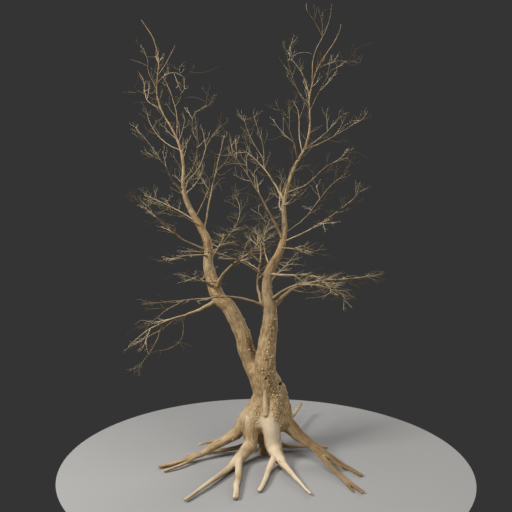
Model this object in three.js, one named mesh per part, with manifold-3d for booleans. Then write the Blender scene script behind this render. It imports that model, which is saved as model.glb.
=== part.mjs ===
// Bare dead tree: one short trunk on a spread of exposed roots, two stems rising from its fork,
// and boughs on both stems. Millimetres, +Z up. The origin is the middle of the flat cut under
// the trunk at ground level, and the widest side of the crown runs along X.
import * as THREE from "three";
import { mergeVertices } from "three/addons/utils/BufferGeometryUtils.js";
import Module from "manifold-3d";

const GAP = 0.3;
const RING_STEP = 165;
const COLLAR = 0.45;
const BURIED_START = 0.3;
const SWELL_SHARPNESS = 8;
const TRUNK_CAP = 20;
const REST_GAP = 2;
const WOOD = { trunk: 0x9e8565, stem: 0x8a7350, root: 0xa89274, bough: 0x7d6a4c };

// The trunk's middle line, from the ground to just under the fork.
const TRUNK_LINE = [
  [0, 0, 0], [30, 0, 380], [45, 0, 520], [85, 0, 700], [78, 0, 860], [20, 0, 980],
  [-50, 10, 1100], [-85, 20, 1210],
];
// The trunk's half width at each height: a foot, the shoulders the roots leave from, the waist.
const TRUNK_GIRTH = [
  [0, 85], [130, 84], [230, 120], [340, 225], [430, 285], [520, 290], [610, 268],
  [700, 244], [800, 226], [900, 218], [1000, 212], [1090, 196], [1150, 165], [1190, 100],
];
const KNOT_SIDES = 12;
const TRUNK_SIDES = 22;
const TRUNK_DEPTH = 0.88;
const SHOULDER = { height: 410, spread: 150, swell: 0.16 };
const PEG = { top: [0, -165, 860], foot: [14, -240, 585], radius: 36, sides: 8 };
const KNOT_HOLES = [
  { at: [225, -130, 905], radius: 24, depth: 60 },
  { at: [10, -200, 985], radius: 14, depth: 34 },
];

// Each stem follows a smooth line through a few bends; girth is [fraction of length, radius].
const STEMS = {
  left_stem: {
    bends: [
      [-10, 40, 700], [-168, 85, 1075], [-300, 110, 1560], [-460, 130, 1880], [-650, 150, 2090],
      [-750, 180, 2410], [-790, 170, 2850], [-970, 130, 3200], [-1090, 90, 3500],
      [-1100, 60, 3930], [-1210, 70, 4270], [-1410, 80, 4630], [-1450, 50, 4890],
      [-1420, 10, 5230], [-1480, -50, 5520], [-1620, -120, 5730],
    ],
    girth: [[0, 120], [0.1, 116], [0.2, 105], [0.28, 96], [0.4, 62], [0.6, 33], [0.75, 20], [1, 7]],
  },
  right_stem: {
    bends: [
      [70, -10, 580], [0, -60, 1190], [40, -70, 1550], [80, -80, 1810], [30, -90, 2180],
      [70, -90, 2450], [190, -80, 2680], [260, -60, 2940], [260, -20, 3340], [400, 40, 3830],
      [540, 60, 4070], [610, 80, 4390], [610, 70, 4780], [690, 60, 5110], [850, 40, 5380],
      [980, 20, 5580], [1020, -10, 5730],
    ],
    girth: [[0, 160], [0.11, 139], [0.17, 120], [0.26, 87], [0.3, 68], [0.37, 59], [0.46, 41],
      [0.6, 31], [0.8, 18], [1, 6]],
  },
};
const STEM_SIDES = 12;

// How a limb grows: it leaves a point inside the trunk's shoulder, or the limb it is "on" at a
// fraction of that one's length. Its tip lies at "reach" from there, "bow" bends it one way and
// "sway" bends it both ways.
const ROOTS = {
  left_root: {
    from: [-90, -10, 470], reach: [-1230, -500, -440], bow: [10, 80, -120],
    sway: [-20, 10, 0], thick: 98, tip: 21,
  },
  front_left_root: {
    from: [-45, -70, 440], reach: [-830, -1310, -410], bow: [10, 90, -180],
    sway: [0, 40, -50], thick: 92, tip: 23,
  },
  front_right_root: {
    from: [45, -80, 440], reach: [440, -1160, -410], bow: [-30, 70, -170],
    sway: [-10, 30, -40], thick: 98, tip: 19,
  },
  right_root: {
    from: [170, -30, 470], reach: [980, -720, -450], bow: [20, 130, -90],
    sway: [0, -30, 10], thick: 104, tip: 20,
  },
  back_root: {
    from: [60, 60, 380], reach: [560, 1440, -140], bow: [20, -10, -100],
    sway: [0, 0, 0], thick: 62, tip: 25,
  },
  back_left_root: {
    from: [-20, 10, 230], reach: [-1000, -150, -210], bow: [20, 60, -80],
    sway: [0, 0, -20], thick: 44, tip: 18,
  },
  back_right_root: {
    from: [30, 20, 230], reach: [840, 140, -210], bow: [-40, 30, -80],
    sway: [-10, 10, -30], thick: 44, tip: 16,
  },
  left_root_fork: {
    on: "left_root", at: 0.55, reach: [-480, -410, -90], bow: [10, -10, -20],
    sway: [-10, 10, -10], thick: 26, tip: 17,
  },
  front_left_fork: {
    on: "front_left_root", at: 0.33, reach: [-20, -940, -70], bow: [0, 0, -20],
    sway: [0, 0, -10], thick: 50, tip: 28,
  },
  front_right_fork: {
    on: "front_right_root", at: 0.36, reach: [-250, -750, -80], bow: [-30, 10, -20],
    sway: [-20, 10, -10], thick: 42, tip: 21,
  },
  right_root_fork: {
    on: "right_root", at: 0.45, reach: [420, -940, -150], bow: [-10, 0, -50],
    sway: [0, 0, -10], thick: 46, tip: 19,
  },
};
const ROOT_SIDES = 9;
const ROOT_TAPER = 1.6;
const ROOT_START = 90;
const ROOT_END = 0.08;

const BOUGHS = {
  left_low_bough: {
    on: "left_stem", at: 0.275, reach: [-1110, -500, -550], bow: [-40, 10, 40], sway: [0, 0, -40],
    thick: 36, tip: 6,
  },
  left_low_fork: {
    on: "left_low_bough", at: 0.455, reach: [-430, -150, -270], bow: [10, 0, -10],
    thick: 15, tip: 5,
  },
  left_front_bough: {
    on: "left_stem", at: 0.31, reach: [-160, -950, 210], bow: [0, 0, 0],
    thick: 34, tip: 6,
  },
  left_shelf_bough: {
    on: "left_stem", at: 0.39, reach: [-410, -850, -60], bow: [-20, 0, 30],
    thick: 26, tip: 6,
  },
  left_wide_bough: {
    on: "left_stem", at: 0.405, reach: [-760, -350, 570], bow: [-60, 10, -70],
    thick: 26, tip: 5,
  },
  left_level_bough: {
    on: "left_stem", at: 0.48, reach: [-860, 600, 440], bow: [20, 10, 20],
    thick: 19, tip: 5,
  },
  left_mid_bough: {
    on: "left_stem", at: 0.57, reach: [-330, -450, 360], bow: [0, 0, 0], sway: [-30, 0, -20],
    thick: 14, tip: 5,
  },
  left_high_bough: {
    on: "left_stem", at: 0.665, reach: [-570, 550, 660], bow: [-80, 10, -60],
    thick: 14, tip: 4,
  },
  left_crown_low: {
    on: "left_stem", at: 0.785, reach: [-380, 350, 620], bow: [-50, 0, -40], sway: [-40, 0, -20],
    thick: 10, tip: 4,
  },
  left_crown_top: {
    on: "left_stem", at: 0.84, reach: [-170, -200, 430], bow: [-10, 0, -10], sway: [-30, 0, -10],
    thick: 9, tip: 4,
  },
  left_inner_top: { on: "left_stem", at: 0.86, reach: [200, 250, 530], bow: [10, 0, 0], thick: 8, tip: 4 },
  left_inner_rise: {
    on: "left_stem", at: 0.695, reach: [-270, 450, 1000], bow: [70, 10, 20],
    thick: 12, tip: 4,
  },
  left_inner_bough: {
    on: "left_stem", at: 0.665, reach: [390, -400, 490], bow: [-20, 0, 40], sway: [50, 0, -20],
    thick: 13, tip: 4,
  },
  left_pair_near: {
    on: "left_stem", at: 0.59, reach: [210, -500, 600], bow: [100, 10, -40],
    thick: 15, tip: 5,
  },
  left_pair_far: {
    on: "left_stem", at: 0.58, reach: [470, 450, 910], bow: [20, 10, -10], sway: [40, 0, -10],
    thick: 18, tip: 5,
  },
  left_rising_bough: {
    on: "left_stem", at: 0.49, reach: [100, -550, 590], bow: [140, 10, 20], sway: [-40, 0, -10],
    thick: 20, tip: 6,
  },
  left_back_bough: {
    on: "left_stem", at: 0.45, reach: [240, 650, 1460], bow: [-20, 10, 0],
    thick: 24, tip: 5,
  },
  left_cross_bough: {
    on: "left_stem", at: 0.295, reach: [680, -700, 930], bow: [40, 10, 10], sway: [-60, 0, 30],
    thick: 38, tip: 6,
  },
  left_lift_bough: {
    on: "left_stem", at: 0.39, reach: [310, 950, 960], bow: [180, 20, -60], sway: [-40, 0, -10],
    thick: 15, tip: 4,
  },
  right_low_cross: {
    on: "right_stem", at: 0.24, reach: [-1390, -500, 200], bow: [30, 10, 150], sway: [20, 0, 40],
    thick: 34, tip: 5,
  },
  right_side_stem: {
    on: "right_stem", at: 0.26, reach: [-200, 380, 1050], bow: [-40, -10, -50], sway: [-70, 0, -20],
    thick: 34, tip: 8,
  },
  right_side_arch: {
    on: "right_side_stem", at: 0.545, reach: [-420, -480, 290], bow: [10, 0, 50],
    thick: 18, tip: 9,
  },
  right_hind_bough: {
    on: "right_stem", at: 0.355, reach: [20, 1000, 720], bow: [-90, 10, -30],
    thick: 22, tip: 5,
  },
  right_front_cross: {
    on: "right_stem", at: 0.325, reach: [-950, -560, 370], bow: [40, 10, 100],
    thick: 24, tip: 5,
  },
  right_long_bough: {
    on: "right_stem", at: 0.43, reach: [-660, -350, 1100], bow: [20, 0, 30],
    thick: 32, tip: 5,
  },
  right_high_bough: {
    on: "right_stem", at: 0.525, reach: [-560, 600, 820], bow: [60, 10, 40],
    thick: 28, tip: 6,
  },
  right_prong_bough: {
    on: "right_stem", at: 0.635, reach: [-290, -450, 610], bow: [40, 0, 20],
    thick: 17, tip: 4,
  },
  right_fan_bough: {
    on: "right_stem", at: 0.665, reach: [-110, 550, 850], bow: [20, 10, -10], sway: [-30, 0, -10],
    thick: 16, tip: 4,
  },
  right_upper_side: {
    on: "right_stem", at: 0.675, reach: [530, 450, 530], bow: [30, 10, -20],
    thick: 12, tip: 4,
  },
  right_upper_wing: {
    on: "right_stem", at: 0.67, reach: [680, -350, 310], bow: [20, 0, -20],
    thick: 13, tip: 4,
  },
  right_arm_bough: {
    on: "right_stem", at: 0.555, reach: [730, -500, 340], bow: [0, 10, -10], sway: [20, 0, -40],
    thick: 15, tip: 4,
  },
  right_reach_bough: {
    on: "right_stem", at: 0.45, reach: [910, 600, 870], bow: [10, 10, -20], sway: [30, 0, -20],
    thick: 18, tip: 5,
  },
  right_bend_bough: {
    on: "right_stem", at: 0.425, reach: [920, -300, 580], bow: [30, 0, -40],
    thick: 21, tip: 5,
  },
  right_shelf_bough: {
    on: "right_stem", at: 0.41, reach: [290, -1100, -60], bow: [20, 0, 10],
    thick: 18, tip: 6,
  },
  right_level_bough: {
    on: "right_stem", at: 0.34, reach: [720, -700, -160], bow: [40, 10, 80], sway: [-10, 0, -30],
    thick: 30, tip: 6,
  },
  right_far_bough: {
    on: "right_stem", at: 0.245, reach: [1570, 350, 500], bow: [-80, 0, 160], sway: [-30, 0, 60],
    thick: 42, tip: 5,
  },
  right_far_twin: {
    on: "right_stem", at: 0.27, reach: [910, -560, 120], bow: [-20, 20, 190],
    thick: 30, tip: 5,
  },
  right_crown_low: {
    on: "right_stem", at: 0.775, reach: [-330, -350, 610], bow: [-40, 10, -30],
    thick: 10, tip: 4,
  },
  right_crown_rise: {
    on: "right_stem", at: 0.795, reach: [-220, 350, 700], bow: [50, 0, 20],
    thick: 10, tip: 4,
  },
  right_top_bough: {
    on: "right_stem", at: 0.845, reach: [230, -180, 950], bow: [-30, 0, 10], sway: [-40, 0, 10],
    thick: 12, tip: 3,
  },
  left_rear_bough: {
    on: "left_stem", at: 0.375, reach: [140, 1150, 400], bow: [0, 10, -20],
    thick: 26, tip: 6,
  },
  left_rear_high: {
    on: "left_stem", at: 0.555, reach: [120, 900, 400], bow: [0, 10, -20],
    thick: 18, tip: 5,
  },
  right_rear_bough: {
    on: "right_stem", at: 0.315, reach: [400, 1250, 320], bow: [0, 10, -10],
    thick: 30, tip: 6,
  },
  right_rear_high: {
    on: "right_stem", at: 0.495, reach: [40, 1000, 420], bow: [-60, 10, -20],
    thick: 20, tip: 5,
  },
  right_front_high: {
    on: "right_stem", at: 0.515, reach: [80, -900, 70], bow: [20, 0, 0],
    thick: 16, tip: 5,
  },
};
const BOUGH_SIDES = 6;
const THIN_BOUGH_SIDES = 5;
const THIN_BOUGH = 14;

const wasm = await Module();
wasm.setup();

const vector = ([x, y, z]) => new THREE.Vector3(x, y, z);

// Reads a list of [position, value] steps as a graph of straight lines.
function stepGraph(steps, position) {
  const last = steps.length - 1;
  if (position <= steps[0][0]) return steps[0][1];
  if (position >= steps[last][0]) return steps[last][1];
  const next = steps.findIndex(([start]) => start > position);
  const [from, low] = steps[next - 1];
  const [to, high] = steps[next];
  return THREE.MathUtils.lerp(low, high, (position - from) / (to - from));
}

// A bough thins evenly from thick to tip, a root thins quickly at first.
function taperedRadius(growth, along, rests) {
  const left = rests ? (1 - along) ** ROOT_TAPER : 1 - along;
  return growth.tip + (growth.thick - growth.tip) * left;
}

// A limb's middle line: straight reach, plus one bend, plus a double bend. A root's line is
// held above the ground by its own radius.
class LimbLine extends THREE.Curve {
  constructor(start, growth, rests) {
    super();
    this.start = start;
    this.reach = vector(growth.reach);
    this.bow = vector(growth.bow);
    this.sway = vector(growth.sway ?? [0, 0, 0]);
    this.growth = growth;
    this.rests = rests;
  }

  getPoint(t, target = new THREE.Vector3()) {
    target.copy(this.start).addScaledVector(this.reach, t);
    target.addScaledVector(this.bow, 4 * t * (1 - t));
    target.addScaledVector(this.sway, Math.sin(2 * Math.PI * t));
    if (this.rests) target.z = Math.max(target.z, taperedRadius(this.growth, t, true) + REST_GAP);
    return target;
  }
}

// A closed lathe whose rows are carried along a line. The far end closes in one point.
function bentLathe(line, radiusAt, sides, rings, grow, close = 0.6) {
  const length = line.getLength();
  const profile = [new THREE.Vector2(0, 0)];
  for (let ring = 0; ring < rings; ring += 1) {
    const along = ring / (rings - 1 + close);
    profile.push(new THREE.Vector2(radiusAt(along) + grow, along * length));
  }
  profile.push(new THREE.Vector2(0, length));
  const geometry = new THREE.LatheGeometry(profile, sides);
  const place = geometry.getAttribute("position");
  const rows = profile.length;
  const frames = carriedFrames(line, profile.map((corner) => corner.y / length));
  const spot = new THREE.Vector3();
  for (let index = 0; index < place.count; index += 1) {
    const frame = frames[index % rows];
    spot.copy(frame.centre);
    spot.addScaledVector(frame.side, place.getX(index));
    spot.addScaledVector(frame.across, place.getZ(index));
    place.setXYZ(index, spot.x, spot.y, spot.z);
  }
  return geometry;
}

// Frames along a line that turn with it without twisting.
function carriedFrames(line, fractions) {
  const side = new THREE.Vector3(0, -1, 0);
  return fractions.map((fraction) => {
    const centre = line.getPointAt(fraction);
    const tangent = line.getTangentAt(fraction);
    side.addScaledVector(tangent, -side.dot(tangent)).normalize();
    return { centre, side: side.clone(), across: new THREE.Vector3().crossVectors(side, tangent) };
  });
}

function solidFrom(geometry) {
  geometry.deleteAttribute("normal");
  geometry.deleteAttribute("uv");
  const merged = mergeVertices(geometry, 0.001);
  const corners = new Uint32Array(merged.getIndex().array);
  const vertProperties = new Float32Array(merged.getAttribute("position").array);
  const solid = new wasm.Manifold(new wasm.Mesh({ numProp: 3, vertProperties, triVerts: corners }));
  if (solid.volume() > 0) return solid;
  return new wasm.Manifold(
    new wasm.Mesh({ numProp: 3, vertProperties, triVerts: corners.slice().reverse() }),
  );
}

function limbSolid(limb, grow) {
  return solidFrom(
    bentLathe(limb.line, limb.radiusAt, limb.sides, limb.rings, grow, limb.close),
  );
}

// The trunk: its girth by height, swollen where the roots leave.
function trunkSolid(grow) {
  const heights = TRUNK_GIRTH.map(([height]) => height);
  const top = heights[heights.length - 1] + TRUNK_CAP;
  const profile = [new THREE.Vector2(0, 0)];
  TRUNK_GIRTH.forEach(([height, radius]) => profile.push(new THREE.Vector2(radius, height)));
  profile.push(new THREE.Vector2(0, top));
  const geometry = new THREE.LatheGeometry(profile, TRUNK_SIDES);
  const place = geometry.getAttribute("position");
  const headings = Object.values(ROOTS).filter((root) => root.from)
    .map((root) => Math.atan2(root.reach[1], root.reach[0]));
  for (let index = 0; index < place.count; index += 1) {
    const height = place.getY(index);
    const heading = Math.atan2(place.getZ(index), place.getX(index));
    const radius = Math.hypot(place.getX(index), place.getZ(index));
    const shoulder = Math.exp(-(((height - SHOULDER.height) / SHOULDER.spread) ** 2));
    const nearRoot = headings.reduce(
      (sum, root) => sum + Math.max(0, Math.cos(heading - root)) ** SWELL_SHARPNESS,
      0,
    );
    const swell = 1 + SHOULDER.swell * shoulder * nearRoot;
    const full = radius * swell + (radius > 0 ? grow : 0);
    const lean = stepGraph(TRUNK_LINE.map(([x, , z]) => [z, x]), height);
    const depth = stepGraph(TRUNK_LINE.map(([, y, z]) => [z, y]), height);
    place.setXYZ(
      index,
      lean + full * Math.cos(heading),
      depth + full * Math.sin(heading) * TRUNK_DEPTH,
      height,
    );
  }
  return solidFrom(geometry);
}

function rod(from, to, radius, sides) {
  const line = new THREE.LineCurve3(vector(from), vector(to));
  return solidFrom(bentLathe(line, () => radius, sides, 4, 0));
}

const limbs = { trunk: { line: new THREE.CatmullRomCurve3(TRUNK_LINE.map(vector)) } };
limbs.trunk.radiusAt = (along) => stepGraph(TRUNK_GIRTH, along * limbs.trunk.line.getLength());

for (const [name, stem] of Object.entries(STEMS)) {
  const line = new THREE.CatmullRomCurve3(stem.bends.map(vector));
  line.arcLengthDivisions = 800;
  limbs[name] = {
    line,
    radiusAt: (along) => stepGraph(stem.girth, along),
    sides: STEM_SIDES,
    rings: Math.ceil(line.getLength() / RING_STEP),
    colour: WOOD.stem,
  };
}

// A limb gets a collar where it leaves its parent and a narrow start inside it.
function addLimb(name, growth, rests) {
  const parent = limbs[growth.on];
  const start = growth.from ? vector(growth.from) : parent.line.getPointAt(growth.at);
  const line = new LimbLine(start, growth, rests);
  const length = line.getLength();
  const inside = growth.from ? ROOT_START : parent.radiusAt(growth.at);
  const collarReach = inside + growth.thick;
  const thin = growth.thick < THIN_BOUGH ? THIN_BOUGH_SIDES : BOUGH_SIDES;
  limbs[name] = {
    line,
    radiusAt: (along) => {
      const from = along * length;
      const collar = COLLAR * growth.thick * Math.exp(-((from / collarReach) ** 2));
      const buried = Math.min(1, BURIED_START + ((1 - BURIED_START) * from) / inside);
      return buried * (taperedRadius(growth, along, rests) + collar);
    },
    sides: rests ? ROOT_SIDES : thin,
    rings: Math.ceil(length / RING_STEP) + 1,
    close: rests ? ROOT_END : undefined,
    colour: rests ? WOOD.root : WOOD.bough,
  };
}

Object.entries(ROOTS).forEach(([name, growth]) => addLimb(name, growth, true));
Object.entries(BOUGHS).forEach(([name, growth]) => addLimb(name, growth, false));

// Keeps the largest body that is left of a limb once its neighbours are taken from it.
function mainPiece(solid) {
  return solid.decompose().sort((one, other) => other.volume() - one.volume())[0];
}

function asMesh(name, solid, colour) {
  const mesh = solid.getMesh();
  const geometry = new THREE.BufferGeometry();
  geometry.setAttribute("position", new THREE.BufferAttribute(mesh.vertProperties, 3));
  geometry.setIndex(new THREE.BufferAttribute(mesh.triVerts, 1));
  geometry.computeVertexNormals();
  const material = new THREE.MeshStandardMaterial({ color: colour, roughness: 0.9, metalness: 0 });
  const part = new THREE.Mesh(geometry, material);
  part.name = name;
  return part;
}

const holes = KNOT_HOLES.map((knot) => wasm.Manifold.sphere(knot.radius, KNOT_SIDES)
  .scale([1, knot.depth / knot.radius, 1]).translate(knot.at));
const peg = rod(PEG.top, PEG.foot, PEG.radius, PEG.sides);
let trunk = trunkSolid(0).add(peg);
holes.forEach((hole) => {
  trunk = trunk.subtract(hole);
});
const tree = new THREE.Group();
tree.name = "dead_tree";
tree.add(asMesh("trunk", mainPiece(trunk), WOOD.trunk));

// Each limb is cut clear of every solid that was grown before it.
let grown = trunkSolid(GAP).add(rod(PEG.top, PEG.foot, PEG.radius + GAP, PEG.sides));
for (const [name, limb] of Object.entries(limbs)) {
  if (name === "trunk") continue;
  const piece = mainPiece(limbSolid(limb, 0).subtract(grown));
  tree.add(asMesh(name, piece, limb.colour));
  grown = grown.add(limbSolid(limb, GAP));
}

export default tree;
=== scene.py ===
import math
import bpy
import numpy as np
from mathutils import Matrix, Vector


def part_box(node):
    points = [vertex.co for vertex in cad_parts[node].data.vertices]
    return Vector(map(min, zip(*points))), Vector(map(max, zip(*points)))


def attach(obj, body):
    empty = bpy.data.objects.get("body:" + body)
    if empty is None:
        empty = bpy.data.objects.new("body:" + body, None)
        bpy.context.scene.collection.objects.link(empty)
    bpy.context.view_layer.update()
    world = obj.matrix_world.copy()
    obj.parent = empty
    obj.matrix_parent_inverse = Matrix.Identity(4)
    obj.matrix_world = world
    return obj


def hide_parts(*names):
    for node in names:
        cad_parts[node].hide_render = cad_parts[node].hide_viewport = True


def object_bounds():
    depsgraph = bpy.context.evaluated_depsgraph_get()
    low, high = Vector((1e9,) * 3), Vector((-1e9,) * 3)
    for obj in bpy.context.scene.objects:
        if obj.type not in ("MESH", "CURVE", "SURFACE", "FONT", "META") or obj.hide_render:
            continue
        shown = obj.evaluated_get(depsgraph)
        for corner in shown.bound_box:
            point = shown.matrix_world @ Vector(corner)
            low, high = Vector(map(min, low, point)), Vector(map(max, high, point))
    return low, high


# A bare dead tree: trunk, roots and two stems in one barked body, boughs as tapering limbs,
# and twigs that grow on from them by a seeded branching rule. Metres, +Z up.
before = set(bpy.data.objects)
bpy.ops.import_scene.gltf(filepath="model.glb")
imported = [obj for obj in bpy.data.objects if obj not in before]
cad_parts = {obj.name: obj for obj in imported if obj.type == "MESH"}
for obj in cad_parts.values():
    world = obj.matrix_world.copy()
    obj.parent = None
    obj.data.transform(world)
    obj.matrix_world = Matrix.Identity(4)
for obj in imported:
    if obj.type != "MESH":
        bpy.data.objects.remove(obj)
for startup in ("Cube", "Light", "Camera"):
    if startup in bpy.data.objects:
        bpy.data.objects.remove(bpy.data.objects[startup])
cadLow, cadHigh = [np.array(corner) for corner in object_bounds()]
print("frame loaded, CAD box", cadLow.round(3), cadHigh.round(3))

camera = {
    "place": (-0.115, -6.84, 2.632),
    "lens": 36.0,  # millimetres, as the sensor's width is
    "sensor": 36.0,
    "turn": (90, 0, 0),  # degrees, level and facing along +Y
}
lens = bpy.data.cameras.new("viewCamera")
lens.lens = camera["lens"]
lens.sensor_width = camera["sensor"]
viewCamera = bpy.data.objects.new("viewCamera", lens)
viewCamera.location = camera["place"]
viewCamera.rotation_euler = [math.radians(angle) for angle in camera["turn"]]
bpy.context.collection.objects.link(viewCamera)
bpy.context.scene.camera = viewCamera


# Length of each vector that lies along the last axis.
def size(v):
    return np.linalg.norm(v, axis=-1)


# Each vector divided by its own length.
def unit(v):
    return v / np.maximum(size(v), 1e-9)[..., None]


# 0 below low, 1 above high, and 3t^2 - 2t^3 between.
def smoothStep(low, high, x):
    t = np.clip((x - low) / (high - low), 0, 1)
    return t * t * (3 - 2 * t)


# One number from 0 to 1 for each whole-number cell: the cell's three counts are mixed by odd
# multipliers and folded, as a hash.
def cellValue(cell, seed):
    n = cell[..., 0] * 374761393 + cell[..., 1] * 668265263 + cell[..., 2] * 1274126177
    n = (n + seed * 974634777) & 0x7FFFFFFF
    n = ((n ^ (n >> 13)) * 1103515245) & 0x7FFFFFFF
    n = ((n ^ (n >> 15)) * 362437) & 0x7FFFFFFF
    return (n ^ (n >> 14)) / 0x7FFFFFFF


# Smooth noise from -1 to 1: the values at a cell's eight corners blended by 3t^2 - 2t^3.
def softNoise(place, seed):
    whole = np.floor(place).astype(np.int64)
    part = place - whole
    part = part * part * (3 - 2 * part)
    total = np.zeros(place.shape[:-1])
    for corner in np.ndindex(2, 2, 2):
        step = np.array(corner)
        weight = np.prod(np.where(step, part, 1 - part), axis=-1)
        total += weight * cellValue(whole + step, seed)
    return 2 * total - 1


# Sum of noises, each twice as fine and half as strong as the one before it.
def layeredNoise(place, octaves, seed):
    total = np.zeros(place.shape[:-1])
    for octave in range(octaves):
        total += softNoise(place * 2 ** octave + 17.3 * octave, seed + octave) / 2 ** octave
    return total


# One property of all the items of a mesh, as rows of so many columns.
def readAll(items, key, columns, kind=float):
    values = np.empty(len(items) * columns, dtype=kind)
    items.foreach_get(key, values)
    return values.reshape(-1, columns)


# A node's mesh with its doubled corners merged: corner places and triangles by corner number.
def mergedMesh(node):
    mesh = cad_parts[node].data
    mesh.calc_loop_triangles()
    corners = readAll(mesh.vertices, "co", 3)
    tris = readAll(mesh.loop_triangles, "vertices", 3, np.int64)
    first, same = np.unique(
        np.round(corners, 5), axis=0, return_index=True, return_inverse=True)[1:]
    return corners[first], same.ravel()[tris]


# Steps along the mesh's edges from one corner to every other, ring by ring.
def stepsFrom(start, count, tris):
    edges = np.vstack([tris[:, [0, 1]], tris[:, [1, 2]], tris[:, [2, 0]]])
    edges = np.vstack([edges, edges[:, ::-1]])
    steps = np.full(count, -1)
    steps[start] = 0
    reached = 0
    while (steps == reached).any():
        near = edges[steps[edges[:, 0]] == reached, 1]
        steps[near[steps[near] < 0]] = reached + 1
        reached += 1
    return steps


# Rings of corners seen from a limb's pointed tip, each one more step away. A ring's mean is the
# limb's middle there and its mean distance the radius; rings end where the solid is cut.
def ringsFrom(tip, corners, tris):
    steps = stepsFrom(tip, len(corners), tris)
    sides = int((steps == 1).sum())
    middles, radii = [corners[tip]], [0.0]
    for ring in range(1, int(steps.max()) + 1):
        if (steps == ring).sum() != sides:
            break
        here = corners[steps == ring]
        middles.append(here.mean(0))
        radii.append(float(size(here - here.mean(0)).mean()))
    return np.array(middles[::-1]), np.array(radii[::-1])


reading = {
    "tries": 14,  # corners far from a limb's base that are tried as its tip
    "tipShare": 0.7,  # the pointed tip's radius as a share of the ring's before it
    "between": 12,  # places on the cubic that are worked out between two points
    "step": 0.025,  # distance between the points of a limb's line
}


# A limb's middle line and radii, read off its CAD solid: of the corners farthest from its base,
# the tip is the one that the most whole rings lie round.
def limbLine(node, base):
    corners, tris = mergedMesh(node)
    start = corners[np.argmin(size(corners - base))]
    farthest = np.argsort(size(corners - start))[-reading["tries"]:]
    found = [ringsFrom(int(tip), corners, tris) for tip in farthest]
    middles, radii = max(found, key=lambda line: len(line[1]))
    radii[-1] = radii[-2] * reading["tipShare"]
    return middles, radii


# Length along a line up to each of its points.
def lengthsAlong(points):
    return np.concatenate([[0], np.cumsum(size(np.diff(points, axis=0)))])


# A line's points at even steps: the cubic through four neighbouring points, with tangents half
# of their chord, worked out at close parameters and then spaced by length.
def evenLine(points, radii, step=reading["step"]):
    ends = np.vstack([2 * points[0] - points[1], points, 2 * points[-1] - points[-2]])
    widths = np.concatenate([[radii[0]], radii, [radii[-1]]])[:, None]
    full = np.hstack([ends, widths])
    t = np.linspace(0, 1, reading["between"], endpoint=False)[None, :, None]
    a, b, c, d = [full[k:len(full) - 3 + k][:, None, :] for k in range(4)]
    curve = 0.5 * (2 * b + (c - a) * t + (2 * a - 5 * b + 4 * c - d) * t ** 2
                   + (3 * b - a - 3 * c + d) * t ** 3)
    curve = np.vstack([curve.reshape(-1, 4), full[-2][None, :]])
    along = lengthsAlong(curve[:, :3])
    count = max(4, int(round(along[-1] / step)) + 1)
    wanted = np.linspace(0, along[-1], count)
    even = np.stack([np.interp(wanted, along, curve[:, k]) for k in range(4)], axis=1)
    return even[:, :3], even[:, 3]


growth = {
    "wander": 0.060,  # how far a bough strays from its smooth line
    "stemWander": 0.028,  # the same for stems and roots
    "waves": (4.5, 13),  # long and short bends in a metre
    "fades": (0.15, 0.10),  # lengths over which the straying starts and ends
    "collar": 0.45,  # how much a bough widens where it leaves its parent
    "slim": 0.51,  # thin limbs are this share as thick as their collision solids
    "slimmed": (0.014, 0.060),  # radii between which limbs go from thin to thick
    "backtrack": 0.30,  # how far back along its own heading a limb looks for its parent
    "backCost": 0.12,  # how many metres of gap a metre of the way back counts as
}


# Turns a smooth line into a grown one: sideways noise of two lengths, in proportion to the
# square root of the radius, that fades out at both ends.
def grownLine(points, radii, wander, seed):
    along = lengthsAlong(points)
    first, last = growth["fades"]
    fade = smoothStep(0, first, along) * smoothStep(0, last, along[-1] - along)
    push = np.zeros_like(points)
    for axis in range(3):
        slow, quick = [np.stack([along * wave, along * 0 + seed, along * 0 + axis], 1)
                       for wave in growth["waves"]]
        push[:, axis] = softNoise(slow, 5) + 0.5 * softNoise(quick, 9)
    return points + push * (wander * np.sqrt(radii) * fade)[:, None]


# Directions along lines of points: the difference of each point's neighbours.
def headings(lines):
    ahead = np.concatenate([lines[:, 1:], 2 * lines[:, -1:] - lines[:, -2:-1]], axis=1)
    behind = np.concatenate([2 * lines[:, :1] - lines[:, 1:2], lines[:, :-1]], axis=1)
    return unit(ahead - behind)


# A direction square to each given one: its cross product with up, or with X where it is steep.
def squareTo(forward):
    steep = np.abs(forward[:, 2:]) >= 0.9
    return unit(np.cross(forward, np.where(steep, [[1.0, 0, 0]], [[0.0, 0, 1]])))


# Two sideways directions at each point of each line, carried along it so they never twist.
def carriedSides(lines):
    forward = headings(lines)
    side = squareTo(forward[:, 0])
    sides = []
    for ring in range(lines.shape[1]):
        side = unit(side - forward[:, ring] * (side * forward[:, ring]).sum(-1, keepdims=True))
        sides.append(side)
    sides = np.stack(sides, axis=1)
    return sides, np.cross(forward, sides)


# Faces of closed skins, each of some rings of corners with a pole at either end. Corners are
# numbered skin by skin and ring by ring, then all the first poles, then all the last ones.
def skinFaces(skins, rings, around):
    number = np.arange(skins * rings * around).reshape(skins, rings, around)
    following = np.roll(number, -1, axis=2)
    quads = np.stack([number[:, :-1], following[:, :-1], following[:, 1:], number[:, 1:]], -1)
    pole = number.size + np.arange(skins)[:, None] + np.zeros((1, around), int)
    low = np.stack([following[:, 0], number[:, 0], pole], -1)
    high = np.stack([number[:, -1], following[:, -1], pole + skins], -1)
    return quads.reshape(-1, 4), np.concatenate([low, high]).reshape(-1, 3)


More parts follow.
